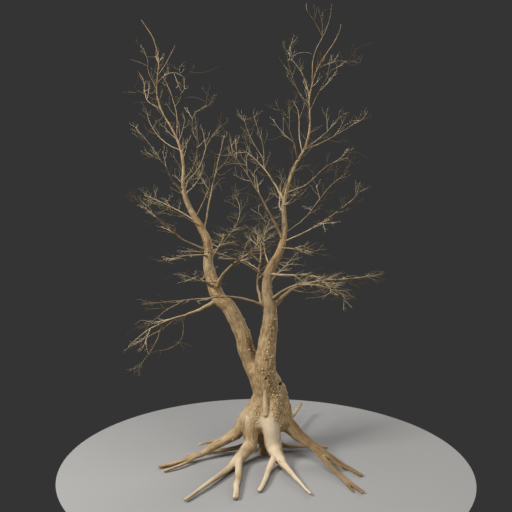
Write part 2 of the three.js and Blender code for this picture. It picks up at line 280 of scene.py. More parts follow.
# Closed tubes round many lines at once. Ring point = middle + radius (cos a * side + sin a *
# across); each end closes on a pole, the far one a share (cap) of the radius further on. Gives
# places, quads and triangles, and for each corner its line's number, the length along it and the
# sideways offset.
def tubes(lines, radii, corners, cap=0.9):
    count, rings = lines.shape[:2]
    side, across = carriedSides(lines)
    ahead = headings(lines)
    turn = np.linspace(0, 2 * math.pi, corners, endpoint=False)
    sideways = np.stack([np.cos(turn), np.sin(turn)], -1) * radii[:, :, None, None]
    skin = (lines[:, :, None] + sideways[..., :1] * side[:, :, None]
            + sideways[..., 1:] * across[:, :, None])
    foot = lines[:, 0] - ahead[:, 0] * radii[:, :1] * 0.4
    point = lines[:, -1] + ahead[:, -1] * radii[:, -1:] * cap
    quads, tris = skinFaces(count, rings, corners)
    along = np.cumsum(size(np.diff(lines, axis=1, prepend=lines[:, :1])), axis=1)
    number = np.arange(count)
    return {
        "places": np.concatenate([skin.reshape(-1, 3), foot, point]), "quads": quads, "tris": tris,
        "length": np.concatenate([np.repeat(along.ravel(), corners), along[:, 0], along[:, -1]]),
        "sideways": np.concatenate([sideways.reshape(-1, 2), np.zeros((2 * count, 2))]),
        "line": np.concatenate([np.repeat(number, rings * corners), number, number]),
    }


# One tube for one line.
def limbTube(points, radii, corners, cap=0.9):
    return tubes(points[None], radii[None], corners, cap)


# Several tubes as one skin: corner numbers move up by the corners before them.
def joinTubes(parts):
    before = np.cumsum([0] + [len(part["places"]) for part in parts])
    quads, tris = [np.vstack([part[key] + up for part, up in zip(parts, before)])
                   for key in ("quads", "tris")]
    return np.vstack([part["places"] for part in parts]), quads, tris


# A mesh object from arrays of places, quads and triangles, smooth shaded.
def meshPiece(name, places, quads, tris):
    mesh = bpy.data.meshes.new(name)
    loops = np.concatenate([np.ravel(quads), np.ravel(tris)]).astype(np.int32)
    counts = np.concatenate([np.full(len(quads), 4), np.full(len(tris), 3)])
    mesh.vertices.add(len(places))
    mesh.vertices.foreach_set("co", np.ravel(places).astype(np.float32))
    mesh.loops.add(len(loops))
    mesh.loops.foreach_set("vertex_index", loops)
    mesh.polygons.add(len(counts))
    starts = np.concatenate([[0], np.cumsum(counts)[:-1]])
    mesh.polygons.foreach_set("loop_start", starts.astype(np.int32))
    mesh.polygons.foreach_set("use_smooth", np.ones(len(counts), dtype=bool))
    mesh.update(calc_edges=True)
    mesh.validate()
    piece = bpy.data.objects.new(name, mesh)
    bpy.context.collection.objects.link(piece)
    return piece


# Puts one number or one vector for each corner on a piece, for its bark to read.
def giveAttribute(piece, name, values):
    kind, key = ("FLOAT", "value") if values.ndim == 1 else ("FLOAT_VECTOR", "vector")
    field = piece.data.attributes.new(name, kind, "POINT")
    field.data.foreach_set(key, np.ravel(values).astype(np.float32))


trunkShape = {
    "middle": (0.05, 0, 0.45),
    "forkAt": (0.02, 0.02, 0.90),  # near the cut ends of both stems
    "slices": {"from": 0.02, "belowTop": 0.06, "step": 0.05, "half": 0.07},  # read across it
    "stemFoot": {"left_stem": (0.00, 0.08, 0.72),  # where the stems start, inside the trunk
                 "right_stem": (0.05, -0.06, 0.66)},
    "stemLean": {"left_stem": 0.03, "right_stem": -0.075},  # how far back they stand at the fork
    "leanHeights": (0.95, 1.75),  # the lean fades out between these
    "widen": {"left_root": 0.12, "front_left_root": 0.25,  # of the main roots, at the trunk
              "front_right_root": 0.45, "right_root": 0.12},
    # A main root runs up the trunk as a flute: height, radius, how far it stands out.
    "flute": [(0.98, 0.040, 0.004), (0.78, 0.062, 0.016), (0.60, 0.090, 0.028),
              (0.47, 0.110, 0.026)],
    "depth": 0.88,  # the trunk's depth as a share of its width
    "buried": {"heights": (0.16, 0.48), "radii": (1.25, 1.2), "lift": 0.02, "slope": 0.3},
    # Past a fork the root goes on thinner and the fork is the thicker: the shares of both.
    "forkShare": {"front_left_fork": (0.80, 1.08), "front_right_fork": (0.76, 1.15)},
    "forkFade": 8,  # points over which the root thins
}
trunkMiddle = np.array(trunkShape["middle"])
mainRoots = list(trunkShape["widen"])
stems = list(trunkShape["stemFoot"])
roots = [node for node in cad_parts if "root" in node or node in trunkShape["forkShare"]]
boughs = [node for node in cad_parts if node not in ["trunk", *stems, *roots]]

# Root ends too slight for the collision model. Each row: the limb it leaves and at what share of
# its length, where its tip lies from there, its bow, and its first and last radius.
extraRoots = {
    "right_tip_low": ("right_root_fork", 0.50, (0.14, -0.46, -0.055), (0.01, 0, 0.0), (0.024, 0.014)),
    "right_tip_high": ("right_root", 0.60, (0.27, -0.33, -0.115), (0, 0, 0.01), (0.026, 0.016)),
    "left_stub": ("left_root", 0.52, (-0.34, 0.04, -0.07), (0, 0, 0.01), (0.024, 0.015)),
}


# The trunk's own middle line and half width: from the box of its solid's corners at each height.
def trunkLine():
    corners = mergedMesh("trunk")[0]
    slices = trunkShape["slices"]
    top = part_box("trunk")[1][2] - slices["belowTop"]
    middle, width = [], []
    for height in np.arange(slices["from"], top, slices["step"]):
        here = corners[np.abs(corners[:, 2] - height) < slices["half"]]
        left, right = here[:, 0].min(), here[:, 0].max()
        middle.append([(left + right) / 2, 0.0, height])
        width.append((right - left) / 2)
    return np.array(middle), np.array(width)


# A main root's line with its flute in front: points on the trunk's side, level with the root's
# own heading, each set in by the flute's radius and out again by how far it stands proud.
def flutedRoot(points, radii):
    middle, width = trunkLine()
    first = points[0]
    heading = math.atan2(first[1], first[0] - trunkMiddle[0])
    flute = []
    for height, radius, proud in trunkShape["flute"]:
        out = np.interp(height, middle[:, 2], width) - radius + proud
        centre = np.interp(height, middle[:, 2], middle[:, 0])
        aside = out * trunkShape["depth"] * math.sin(heading)
        flute.append([centre + out * math.cos(heading), aside, height])
    fluteRadii = [radius for height, radius, proud in trunkShape["flute"]]
    return np.vstack([flute, points]), np.concatenate([fluteRadii, radii])


# A smaller root's line, led back by its own slope to the middle of the trunk, and a little wider
# inside it.
def buriedRoot(points, radii):
    buried = trunkShape["buried"]
    heading = unit(points[0] - points[min(3, len(points) - 1)])
    steps = size(points[0, :2] - trunkMiddle[:2]) / max(buried["slope"], size(heading[:2]))
    height = np.clip(points[0, 2] + heading[2] * steps, *buried["heights"])
    start = np.array([*trunkMiddle[:2], height])
    halfway = (start + points[0]) / 2 + np.array([0, 0, buried["lift"]])
    wider = radii[0] * np.array(buried["radii"])
    return np.vstack([start, halfway, points]), np.concatenate([wider, radii])


limbs = {"trunk": trunkLine()}
for node in stems:
    points, radii = limbLine(node, trunkShape["forkAt"])
    low, high = trunkShape["leanHeights"]
    points[:, 1] += trunkShape["stemLean"][node] * smoothStep(high, low, points[:, 2])
    points = np.vstack([trunkShape["stemFoot"][node], points])
    limbs[node] = (points, np.concatenate([radii[:1], radii]))
for node in roots:
    points, radii = limbs[node] = limbLine(node, trunkMiddle)
    if node in mainRoots:
        widen = 1 + trunkShape["widen"][node] * np.linspace(1, 0, len(radii)) ** 2
        limbs[node] = flutedRoot(points, radii * widen)
    elif "fork" not in node:
        limbs[node] = buriedRoot(points, radii)


# Boughs start from the stem, or from the thicker bough, that their cut end is nearest to.
stemPoints = np.vstack([evenLine(*limbs[node], 0.05)[0] for node in stems])
for node in boughs:
    corners = mergedMesh(node)[0]
    reach = np.array([size(stemPoints - corner).min() for corner in corners])
    limbs[node] = limbLine(node, corners[int(np.argmin(reach))])
for node in stems + roots + boughs:
    limbs[node] = evenLine(*limbs[node])
print("limbs read", len(limbs), {node: len(limbs[node][0]) for node in stems})

# The thinnest limbs that still show as limbs grow here, given in the same way.
smallLimbs = {
    "leftLowDrop": ("left_low_fork", 0.44, (-0.23, -0.06, -0.42), (0.03, 0, -0.01), (0.013, 0.004)),
    "leftLowWhip": ("left_low_bough", 0.37, (-0.32, 0.12, -0.48), (0.14, 0, -0.09), (0.008, 0.003)),
    "leftLevelLow": ("left_stem", 0.47, (-0.38, -0.70, 0.22), (-0.01, 0.01, 0.01), (0.014, 0.004)),
    "leftWideFork": ("left_wide_bough", 0.82, (-0.27, -0.09, 0.18), (0, 0, 0.02), (0.008, 0.004)),
    "leftMidTip": ("left_mid_bough", 0.81, (-0.26, 0.06, 0.36), (0.01, 0, 0.01), (0.006, 0.003)),
    "leftBackFork": ("left_back_bough", 0.59, (0.25, -0.06, 0.33), (0.03, 0, -0.02), (0.009, 0.003)),
    "leftCrownSide": ("left_stem", 0.805, (-0.22, -0.45, 0.04), (-0.02, 0.01, -0.01), (0.009, 0.003)),
    "leftCrownWing": ("left_crown_top", 0.38, (-0.22, -0.06, 0.07), (0, 0, 0.01), (0.006, 0.003)),
    "leftInnerSide": ("left_stem", 0.845, (0.42, -0.35, -0.05), (0.01, -0.01, 0.10), (0.008, 0.003)),
    "lowCrossFork": ("right_low_cross", 0.735, (-0.46, -0.12, -0.31), (-0.03, 0, 0.02), (0.011, 0.003)),
    "rightHighFork": ("right_high_bough", 0.555, (-0.10, -0.08, 0.58), (0.04, 0, 0), (0.011, 0.003)),
    "rightHighTwin": ("rightHighFork", 0.215, (-0.27, 0.14, 0.57), (-0.03, 0, -0.01), (0.009, 0.003)),
    "rightTopFork": ("right_top_bough", 0.52, (-0.22, -0.12, 0.29), (0, 0, 0.02), (0.006, 0.002)),
    "rightTopSide": ("right_stem", 0.875, (0.53, 0.28, 0.22), (-0.02, 0, 0.05), (0.008, 0.002)),
    "rightFarTwist": ("right_far_bough", 0.30, (0.42, -0.16, -0.10), (0.02, 0.02, 0.07), (0.014, 0.005)),
    "rightTwinTwist": ("right_far_twin", 0.22, (0.52, -0.10, 0.06), (0.02, -0.02, -0.08), (0.013, 0.004)),
    "rightCrownSide": ("right_stem", 0.765, (0.25, -0.32, 0.45), (0, 0, 0.03), (0.009, 0.002)),
}


# A small limb's line: start + reach t + bow 4t(1 - t), its radius changing evenly.
def smallLimb(parent, at, reach, bow, radii):
    points = limbs[parent][0]
    start = points[int(at * (len(points) - 1))]
    t = np.linspace(0, 1, 24)[:, None]
    line = start + np.array(reach) * t + np.array(bow) * 4 * t * (1 - t)
    return evenLine(line, radii[0] + (radii[1] - radii[0]) * t[:, 0])


for name, spec in smallLimbs.items():
    limbs[name] = smallLimb(*spec)


# Where a limb leaves its parent: its own heading is followed back from its first point, and of
# all places on the way the one nearest to a point of a parent is taken.
def rootOf(points, names):
    heading = unit(points[min(3, len(points) - 1)] - points[0])
    back = np.linspace(0, growth["backtrack"], 25)[:, None]
    trail = points[0] - heading * back
    best = None
    for name in names:
        gaps = size(limbs[name][0][None] - trail[:, None]) + growth["backCost"] * back
        spot = np.unravel_index(np.argmin(gaps), gaps.shape)
        if best is None or gaps[spot] < best[0]:
            best = (gaps[spot], name, int(spot[1]))
    return best[1], best[2]


# A limb led back to its parent's middle in a smooth line, with its radius there.
def ledBack(points, radii, start):
    if size(points[0] - start) < 0.02:
        return points, radii
    keep = slice(min(2, len(points) - 2), None)
    return evenLine(np.vstack([start, points[keep]]), np.concatenate([radii[:1], radii[keep]]))


# Thin limbs are slimmer than their solids; thick ones are as thick.
def slimmed(radii):
    thick = smoothStep(*growth["slimmed"], radii)
    return radii * (growth["slim"] + (1 - growth["slim"]) * thick)


for number, name in enumerate(stems):
    points, radii = limbs[name]
    limbs[name] = (grownLine(points, radii, growth["stemWander"], 31 * number + 4), slimmed(radii))
for number, name in enumerate(roots):
    points, radii = limbs[name]
    if "fork" in name:
        parent, spot = rootOf(points, mainRoots)
        onward, thicker = trunkShape["forkShare"].get(name, (1.0, 1.0))
        line, girth = limbs[parent]
        beyond = smoothStep(0, trunkShape["forkFade"], np.arange(len(girth)) - spot)
        limbs[parent] = (line, girth * (1 - (1 - onward) * beyond))
        points, radii = ledBack(points, radii * thicker, line[max(0, spot - 2)])
    limbs[name] = (grownLine(points, radii, growth["stemWander"], 31 * number + 90), radii)
for name, spec in extraRoots.items():
    limbs[name] = smallLimb(*spec)

# A bough widens where it leaves its parent, by a collar that falls off as exp(-(gap / reach)^2).
for number, name in enumerate([*boughs, *smallLimbs]):
    points, radii = limbs[name]
    thicker = [other for other in [*stems, *boughs, *smallLimbs]
               if other != name and limbs[other][1][0] > radii[0] * 0.9]
    parent, spot = rootOf(points, thicker)
    start = limbs[parent][0][spot]
    points, radii = ledBack(points, slimmed(radii), start)
    points = grownLine(points, radii, growth["wander"], 57 * number + 11)
    away = size(points - start)
    reach = limbs[parent][1][spot] + radii[0] * 1.2
    radii = radii * (1 + growth["collar"] * np.exp(-(away / reach) ** 2))
    limbs[name] = (points, np.minimum(radii, limbs[parent][1][spot] * 0.92))
print("limbs grown", len(limbs))

barkForm = {
    "thick": (0.004, 0.09),  # radii between which a limb's relief goes from none to full
    "ridges": 24,  # scales of the three noises
    "cracks": 46,
    "swelling": 9,
    "stretch": 8.0,  # how many times longer than wide the ridges are
}
body = {
    "voxel": 0.0078,  # how fine the merged trunk, roots and lower stems are
    "faces": 190000,  # triangles left after the skin is thinned out
    "thin": 0.036,  # stems thinner than this go on as tubes of their own
    "shared": 7,  # points over which a stem's two parts overlap and fade
    "corners": {"stem": 40, "root": 24, "upper": 26},  # round each tube
    "rootCap": 0.05,  # how far a root's end is rounded
    "ridge": 0.0009,  # height of the long ridges
    "fissure": 0.0005,  # depth of the fine cracks between them
    "bumps": 0.0035,  # low swellings
    "web": (0.10, 0.25, 0.62, 0.77),  # heights where roots and trunk flow into each other
    "webReach": (0.48, 0.36),  # and how far from the trunk's middle
    "fork": (0.92, 1.02, 1.24, 1.34),  # heights where the stems flow into the trunk
    "unbleached": (0.85, 1.0, 1.45, 1.7),  # heights where tops get neither bleach nor painted highlight
    "webTurns": 45,  # rounds of smoothing in the web and at the fork
    "evenTurns": 24,  # and everywhere
    "pulls": (0.40, -0.42),  # shares of the way to the neighbours' mean, taken in turn
    "grooves": {"on": ("right_root", "right_root_fork"), "depth": 0.0065, "scale": (15, 15, 3.2)},
    # The palest places on the trunk, the shoulders of the roots: bleached wood with a painted highlight
    # where they face the light.
    "paleSpots": [
        {"place": (0.06, -0.36, 0.41), "spread": 0.15, "share": 1.0},
        {"place": (-0.20, -0.22, 0.50), "spread": 0.20, "share": 0.16},
    ],
    # Knot holes in the front: x and height, half width and half height, depth.
    "knotHoles": [((0.222, 0.952), (0.036, 0.024), 0.030), ((0.014, 1.052), (0.020, 0.018), 0.016)],
    # How far each limb's tops are bleached and given a painted highlight; below 0 they are browned as
    # painted shade, as on the right roots.
    "bleached": {
        "trunk": 0.45, "left_stem": 0.35, "right_stem": 0.35, "front_left_root": 0.85,
        "front_left_fork": 0.85, "front_right_root": 1.3, "front_right_fork": 1.1,
        "right_root": -1.2, "right_root_fork": -1.1, "right_tip_low": -1.1, "right_tip_high": -1.1,
    },
    "bleachedElse": 0.5,
}


# The stretch of a line whose radius is over a size, and the rest. Over the few points that they
# share, each fades into the other, so that neither end shows.
def splitLine(points, radii, thin):
    cut = int(np.argmax(radii < thin)) if (radii < thin).any() else len(radii) - 1
    back = cut - body["shared"] - 1
    fade = np.linspace(1, 0.72, body["shared"])
    low, high = radii[:cut + 1].copy(), radii[back:].copy()
    low[-body["shared"]:] *= fade
    high[:body["shared"]] *= fade[::-1]
    return (points[:cut + 1], low), (points[back:], high)


stub = {
    "x": (0.004, 0.010), "height": (0.95, 0.585), "radius": (0.026, 0.040),  # top and foot
    "sunk": (1.15, 0.30),  # radii by which its middle lies behind the frontmost bark
    "near": 0.03,  # how near a place on the trunk has to be to count
    "points": 22, "corners": 22, "evened": 9, "seed": 97,
    "weather": 0.45,  # it is at least this bleached and lit by painted highlight, and as clear of cracks
}


# The broken stub that hangs down the trunk's front: a tube laid on the trunk, whose middle follows
# the frontmost bark at each height, sunk in deep at its top and less towards its blunt foot.
def stubTube(places):
    across, heights, radii, sunk = [
        np.linspace(*stub[key], stub["points"]) for key in ("x", "height", "radius", "sunk")]
    gap = np.hypot(places[None, :, 0] - across[:, None], places[None, :, 2] - heights[:, None])
    front = np.where(gap < stub["near"], places[None, :, 1], 9.0).min(1)
    share = np.full(stub["evened"], 1 / stub["evened"])
    front = np.convolve(np.pad(front, stub["evened"] // 2, mode="edge"), share, mode="valid")
    line = np.stack([across, front + radii * sunk, heights], 1)
    tube = barkedTube(line, radii, stub["corners"], stub["seed"])
    for key in ("tone", "weather"):
        tube[key] = np.maximum(tube[key], stub["weather"])
    return tube


# 0 to 1 between the first two heights, 1 up to the third, and 0 again past the last.
def band(heights, limits):
    return smoothStep(*limits[:2], heights) * smoothStep(limits[3], limits[2], heights)


# Trunk, roots and lower stems become one closed skin: all solids are joined, turned to voxels
# and smoothed by moving each corner towards its neighbours' mean and a little back again.
def mergedBody():
    parts = []
    upper = {}
    for node in stems:
        thick, upper[node] = splitLine(*limbs[node], body["thin"])
        parts.append(limbTube(*thick, body["corners"]["stem"]))
    for node in roots + list(extraRoots):
        parts.append(limbTube(*limbs[node], body["corners"]["root"], body["rootCap"]))
    places, quads, tris = joinTubes(parts)
    corners, trunkTris = mergedMesh("trunk")
    tris = np.vstack([tris, trunkTris + len(places)])
    rough = meshPiece("rough", np.vstack([places, corners]), quads, tris)
    remesh = rough.modifiers.new("voxels", "REMESH")
    remesh.mode = "VOXEL"
    remesh.voxel_size = body["voxel"]
    skin = finishedMesh(rough)
    bpy.data.objects.remove(rough)
    places = readAll(skin.vertices, "co", 3)
    edges = readAll(skin.edges, "vertices", 2, np.int64)
    ground = places[:, 2] < body["voxel"] * 0.75
    web = band(places[:, 2], body["web"])
    web *= smoothStep(*body["webReach"], size(places[:, :2] - trunkMiddle[:2]))
    web = np.maximum(web, band(places[:, 2], body["fork"]))
    for turn in range(body["webTurns"]):
        places = places + 0.5 * web[:, None] * (neighbourMean(places, edges) - places)
    for turn in range(body["evenTurns"]):
        places = places + body["pulls"][turn % 2] * (neighbourMean(places, edges) - places)
    places[ground, 2] = 0
    places[:, 2] = np.maximum(places[:, 2], 0)
    skin.vertices.foreach_set("co", places.astype(np.float32).ravel())
    skin.update()
    return skin, places, edges, upper


# A new mesh of a piece as its modifiers leave it.
def finishedMesh(piece):
    return bpy.data.meshes.new_from_object(piece.evaluated_get(bpy.context.evaluated_depsgraph_get()))


# Mean of each corner's neighbours along the edges.
def neighbourMean(values, edges):
    total = np.zeros_like(values)
    count = np.zeros(len(values))
    for one, other in ((0, 1), (1, 0)):
        for axis in range(values.shape[1]):
            total[:, axis] += np.bincount(edges[:, one], values[edges[:, other], axis], len(values))
        count += np.bincount(edges[:, one], minlength=len(values))
    return total / np.maximum(count, 1)[:, None]


# Where each corner of the body lies on its nearest limb: the offset from the limb's middle along
# two carried sides, and the length along it divided by the stretch. Noise read there runs with
# the grain and meets itself round the limb. Also the radius there and the limb's number.
def grainPlace(places, names):
    rows = []
    for number, name in enumerate(names):
        points, radii = limbs[name]
        side, across = [carried[0] for carried in carriedSides(points[None])]
        along = lengthsAlong(points) + 9.0 * number
        owner = np.full(len(points), number)
        rows.append(np.column_stack([points, side, across, along, radii, owner]))
    rows = np.vstack(rows)
    nearest = np.empty(len(places), dtype=np.int64)
    for start in range(0, len(places), 20000):
        part = places[start:start + 20000]
        away = ((part[:, None, :] - rows[None, :, :3]) ** 2).sum(-1)
        nearest[start:start + 20000] = np.argmin(np.sqrt(away) - rows[None, :, 10], axis=1)
    middle, side, across, (along, radii, owner) = (
        rows[nearest, :3], rows[nearest, 3:6], rows[nearest, 6:9], rows[nearest, 9:].T)
    offset = places - middle
    onward = (offset * np.cross(side, across)).sum(-1)
    grain = np.stack([(offset * side).sum(-1), (offset * across).sum(-1),
                      (along + onward) / barkForm["stretch"]], axis=1)
    return grain, radii, owner.astype(int)


# Bark height at each corner, in metres: long ridges (1 - |noise|) along the grain, finer cracks
# across them, low swellings, all weaker on thin limbs. Also a 0 to 1 tone for the colouring: low in
# the cracks and between the ridges, where the darker bark is partly its own colour, partly painted shade.
def barkHeight(places, grain, girth, spec):
    weight = smoothStep(*barkForm["thick"], girth)
    ridges = 1 - np.abs(layeredNoise(grain * barkForm["ridges"], 3, 41))
    cracks = smoothStep(0.10, 0.0, np.abs(softNoise(grain * barkForm["cracks"], 83)))
    swelling = layeredNoise(places * barkForm["swelling"], 2, 7)
    tone = np.clip(0.5 + 0.5 * (ridges - 0.45) - 0.35 * cracks, 0, 1)
    return weight * (spec["ridge"] * (ridges - 0.5) - spec["fissure"] * cracks
                     + spec["bumps"] * swelling), tone


# Weathering and painted light from how far a face looks up: up to 1 on tops, bleached and with a
# painted highlight, down to -1 on undersides, browned as painted shade.
def weatheredAndLit(upward, places, share):
    patch = 0.75 + 0.45 * softNoise(places * 5.5, 19)
    return smoothStep(0.0, 0.85, upward) * share * patch - smoothStep(-0.05, -0.8, upward)


# A piece's mesh gives way to one thinned out to a number of triangles.
def thinnedOut(piece, faces):
    thin = piece.modifiers.new("thin", "DECIMATE")
    thin.ratio = faces / (2 * len(piece.data.polygons))
    mesh = finishedMesh(piece)
    piece.modifiers.clear()
    piece.data = mesh
    mesh.polygons.foreach_set("use_smooth", np.ones(len(mesh.polygons), dtype=bool))


knobs = {
    "count": 470,
    "radius": (0.0045, 0.0108),
    "rise": (0.45, 0.85),  # height as a share of the radius
    "uneven": 0.28,  # how far the outline strays from round
    "longer": 1.25,  # length as a share of the width
    "thickest": (0.17, 1.0),  # over this radius of limb they are this frequent
    "thick": (0.060, 0.38),  # and over this one
    "thinnest": 0.03,  # and on thinner limbs
    "lowest": (0.42, 0.06),  # the same below a height
    "rows": (13, 13, 9),  # scale of the noise that gathers them
    "cluster": {"place": (0.21, -0.16, 0.78), "spread": 0.02, "more": 2.5},
    "foot": (0.0035, 0.013),  # height and reach of the raised foot
    "ring": (0.55, 0.019),  # how dark the painted shadow in the bark round them is, and its reach
}


# Knobs: low uneven domes, each a few rings of corners on a hidden half below. Dome point =
# middle + radius (sin b cos a, sin b sin a) in the surface's plane + height cos b along its normal.
def knobDomes(middles, normals, radii, heights, rng):
    rings, around = 5, 10
    tilt = np.linspace(0.25, 2.2, rings)
    turn = np.linspace(0, 2 * math.pi, around, endpoint=False)
    side = squareTo(normals)
    across = np.cross(normals, side) * knobs["longer"]
    uneven = 1 + knobs["uneven"] * rng.normal(0, 1, (len(middles), 1, around))
    out = radii[:, None, None] * np.sin(tilt)[None, :, None] * uneven
    up = (heights[:, None] * np.cos(tilt))[:, :, None, None]
    places = (middles[:, None, None] + up * normals[:, None, None]
              + (out * np.cos(turn))[..., None] * side[:, None, None]
              + (out * np.sin(turn))[..., None] * across[:, None, None])
    top = middles + normals * heights[:, None]
    deep = middles - normals * heights[:, None] * 0.8
    quads, tris = skinFaces(len(middles), rings, around)
    return np.vstack([places.reshape(-1, 3), top, deep]), quads[:, ::-1], tris[:, ::-1]


# How likely each corner of the body is to carry a knob: by the limb's radius and the height, in
# rows that noise gathers, denser in one cluster, and with none on left-facing bark nor on the pale
# shoulders with their painted highlight.
def knobChance(places, grain, girth, leftward, litShoulder):
    (over, often), (least, seldom) = knobs["thickest"], knobs["thick"]
    chance = np.where(girth > over, often, np.where(girth > least, seldom, knobs["thinnest"]))
    height, share = knobs["lowest"]
    chance = chance * np.where(places[:, 2] < height, share, 1.0)
    chance *= 0.12 + smoothStep(0.1, 0.5, softNoise(grain * knobs["rows"], 61)) * 3
    cluster = knobs["cluster"]
    gap = size(places - cluster["place"])
    chance *= 1 + cluster["more"] * np.exp(-gap ** 2 / cluster["spread"])
    chance *= (1 - smoothStep(0.1, 0.6, litShoulder)) * smoothStep(-0.9, -0.3, leftward)
    return chance / chance.sum()


rng = np.random.default_rng(12)
skin, places, edges, upperStems = mergedBody()
print("body merged", len(places), "corners")
bodyLimbs = ["trunk", *stems, *roots, *extraRoots]
grain, girth, owner = grainPlace(places, bodyLimbs)
height, tone = barkHeight(places, grain, girth, body)
height *= 0.35 + 0.65 * smoothStep(0.35, 0.65, places[:, 2])
grooves = body["grooves"]
grooved = np.isin(owner, [bodyLimbs.index(name) for name in grooves["on"]])
grooved = grooved * smoothStep(0.22, 0.0, np.abs(softNoise(grain * grooves["scale"], 29)))
height -= grooves["depth"] * grooved
# The grooves' bark is darker in tone: partly its own colour, partly painted shade.
tone *= 1 - 0.7 * grooved
normals = readAll(skin.vertices, "normal", 3)
# Painted highlight, with bleach, on the shoulders of the roots where they face the light.
litShoulder = np.zeros(len(places))
for spot in body["paleSpots"]:
    gap = size(places - spot["place"])
    litShoulder += spot["share"] * np.exp(-gap ** 2 / spot["spread"] ** 2)

# Knobs stand in loose upright rows: most on the trunk's front and right and up both stems. Each
# has a soft raised foot and a darker ring of painted shadow in the bark round it.
chance = knobChance(places, grain, girth, normals[:, 0], litShoulder)
chosen = rng.choice(len(places), knobs["count"], replace=False, p=chance)
gap = np.concatenate([
    size(places[start:start + 8000, None] - places[None, chosen]).min(1)
    for start in range(0, len(places), 8000)])
height += knobs["foot"][0] * np.exp(-(gap / knobs["foot"][1]) ** 2)
# Painted shadow: the bark's tone is darkened in a ring round each knob.
tone *= 1 - knobs["ring"][0] * np.exp(-(gap / knobs["ring"][1]) ** 2)
# The shoulders' painted highlight also keeps their cracks light.
tone = np.maximum(tone, 0.55 * smoothStep(0.1, 0.5, litShoulder))
# Painted shade: the knot holes' bark is made almost black.
hollow = np.zeros(len(places))
for place, half, depth in body["knotHoles"]:
    across = (places[:, [0, 2]] - place) / half
    pit = np.exp(-(across ** 2).sum(1)) * smoothStep(0.1, -0.02, places[:, 1])
    height -= depth * pit
    hollow = np.maximum(hollow, smoothStep(0.25, 0.75, pit))
lift = places + normals * height[:, None]
flat = places[:, 2] <= 1e-4
lift[flat] = places[flat]
lift[:, 2] = np.maximum(lift[:, 2], 0)
skin.vertices.foreach_set("co", lift.astype(np.float32).ravel())
skin.update()
barkBody = bpy.data.objects.new("barkBody", skin)
bpy.context.collection.objects.link(barkBody)

# Weathering and painted light on the body, from -1 to 1, and -2 in the knot holes, whose near black is
# painted shade.
# Each limb's share of bleach and painted highlight on its tops; the right roots' negative share browns
# them as painted shade.
bleach = np.array([body["bleached"].get(name, body["bleachedElse"]) for name in bodyLimbs])[owner]
bleach = bleach * (1 - band(places[:, 2], body["unbleached"])) + 1.45 * litShoulder
# Low bark and the shoulders count as facing further up, so they take more painted highlight.
upward = normals[:, 2] + 0.35 * smoothStep(0.60, 0.30, places[:, 2]) + 0.9 * litShoulder
weather = np.maximum(weatheredAndLit(upward, places, bleach), -1) * (1 - hollow) - 2 * hollow
for key, values in (("grain", grain), ("tone", tone), ("weather", weather)):
    giveAttribute(barkBody, key, values)
thinnedOut(barkBody, body["faces"])
print("bark body done", len(barkBody.data.polygons), "triangles")

knobRadii = rng.uniform(*knobs["radius"], knobs["count"])
knobRise = knobRadii * rng.uniform(*knobs["rise"], knobs["count"])
domes = knobDomes(lift[chosen], normals[chosen], knobRadii, knobRise, rng)
barkKnobs = meshPiece("barkKnobs", *domes)

# Boughs and upper stems, each a tube of its own that starts inside its parent.
boughBark = {
    "ring": 0.010,  # distance between rings
    "thinRing": (0.012, 0.016),  # the same for limbs thinner than the first
    "ridge": 0.0020,
    "fissure": 0.0010,
    "bumps": 0.0022,
    "knuckle": 0.16,  # swelling at old joints, as a share of the radius
    "knuckles": 7,  # scale of the noise that places them
    "relief": (-0.3, 0.4),  # the deepest and highest, as shares of the radius
    "corners": ((0.03, 28), (0.018, 20), (0.009, 14), (0.0, 9)),  # over each radius
    # how far bough tops are bleached and given a painted highlight
    "bleach": 0.7,
    "stemBleach": 0.35,  # how much of that the upper stems have
    "parting": 3.3,  # height that parts the lower boughs from the upper ones
}


# A limb's skin with its bark: the tube's corners move out by ridges, cracks and swellings, and by
# knuckles, where noise along it is high.
def barkedTube(points, radii, corners, seed):
    thin, wide = boughBark["thinRing"]
    points, radii = evenLine(points, radii, boughBark["ring"] if radii.max() > thin else wide)
    along = np.arange(len(points)) * boughBark["ring"]
    row = np.stack([along * boughBark["knuckles"], along * 0 + seed, along * 0], 1)
    ends = smoothStep(0, 0.05, along) * smoothStep(0, 0.04, along[-1] - along)
    radii = radii * (1 + boughBark["knuckle"] * smoothStep(0.25, 0.9, softNoise(row, 23)) * ends)
    tube = limbTube(points, radii, corners)
    even = np.linspace(0, tube["length"].max(), len(points))
    girth = np.interp(tube["length"], even, radii)
    middle = np.stack([np.interp(tube["length"], even, points[:, axis]) for axis in range(3)], 1)
    grain = np.column_stack([tube["sideways"], tube["length"] / barkForm["stretch"] + 3.1 * seed])
    height, tone = barkHeight(tube["places"], grain, girth, boughBark)
    outward = unit(tube["places"] - middle)
    deepest, highest = boughBark["relief"]
    tube["places"] += outward * np.clip(height, deepest * girth, highest * girth)[:, None]
    # Tops are bleached and given a painted highlight; undersides are browned as painted shade.
    weather = weatheredAndLit(outward[:, 2], tube["places"], boughBark["bleach"])
    return tube | {"grain": grain, "tone": tone, "weather": weather}


# Joins barked tubes to one piece with its grain, tone, and weathering with painted light.
def barkPiece(name, parts):
    piece = meshPiece(name, *joinTubes(parts))
    for key in ("grain", "tone", "weather"):
        giveAttribute(piece, key, np.concatenate([part[key] for part in parts]))
    print(name, len(piece.data.polygons), "faces")
    return piece


# Corners round a tube: fewer for a thinner one.
def cornersFor(radius):
    return next(corners for over, corners in boughBark["corners"] if radius > over)


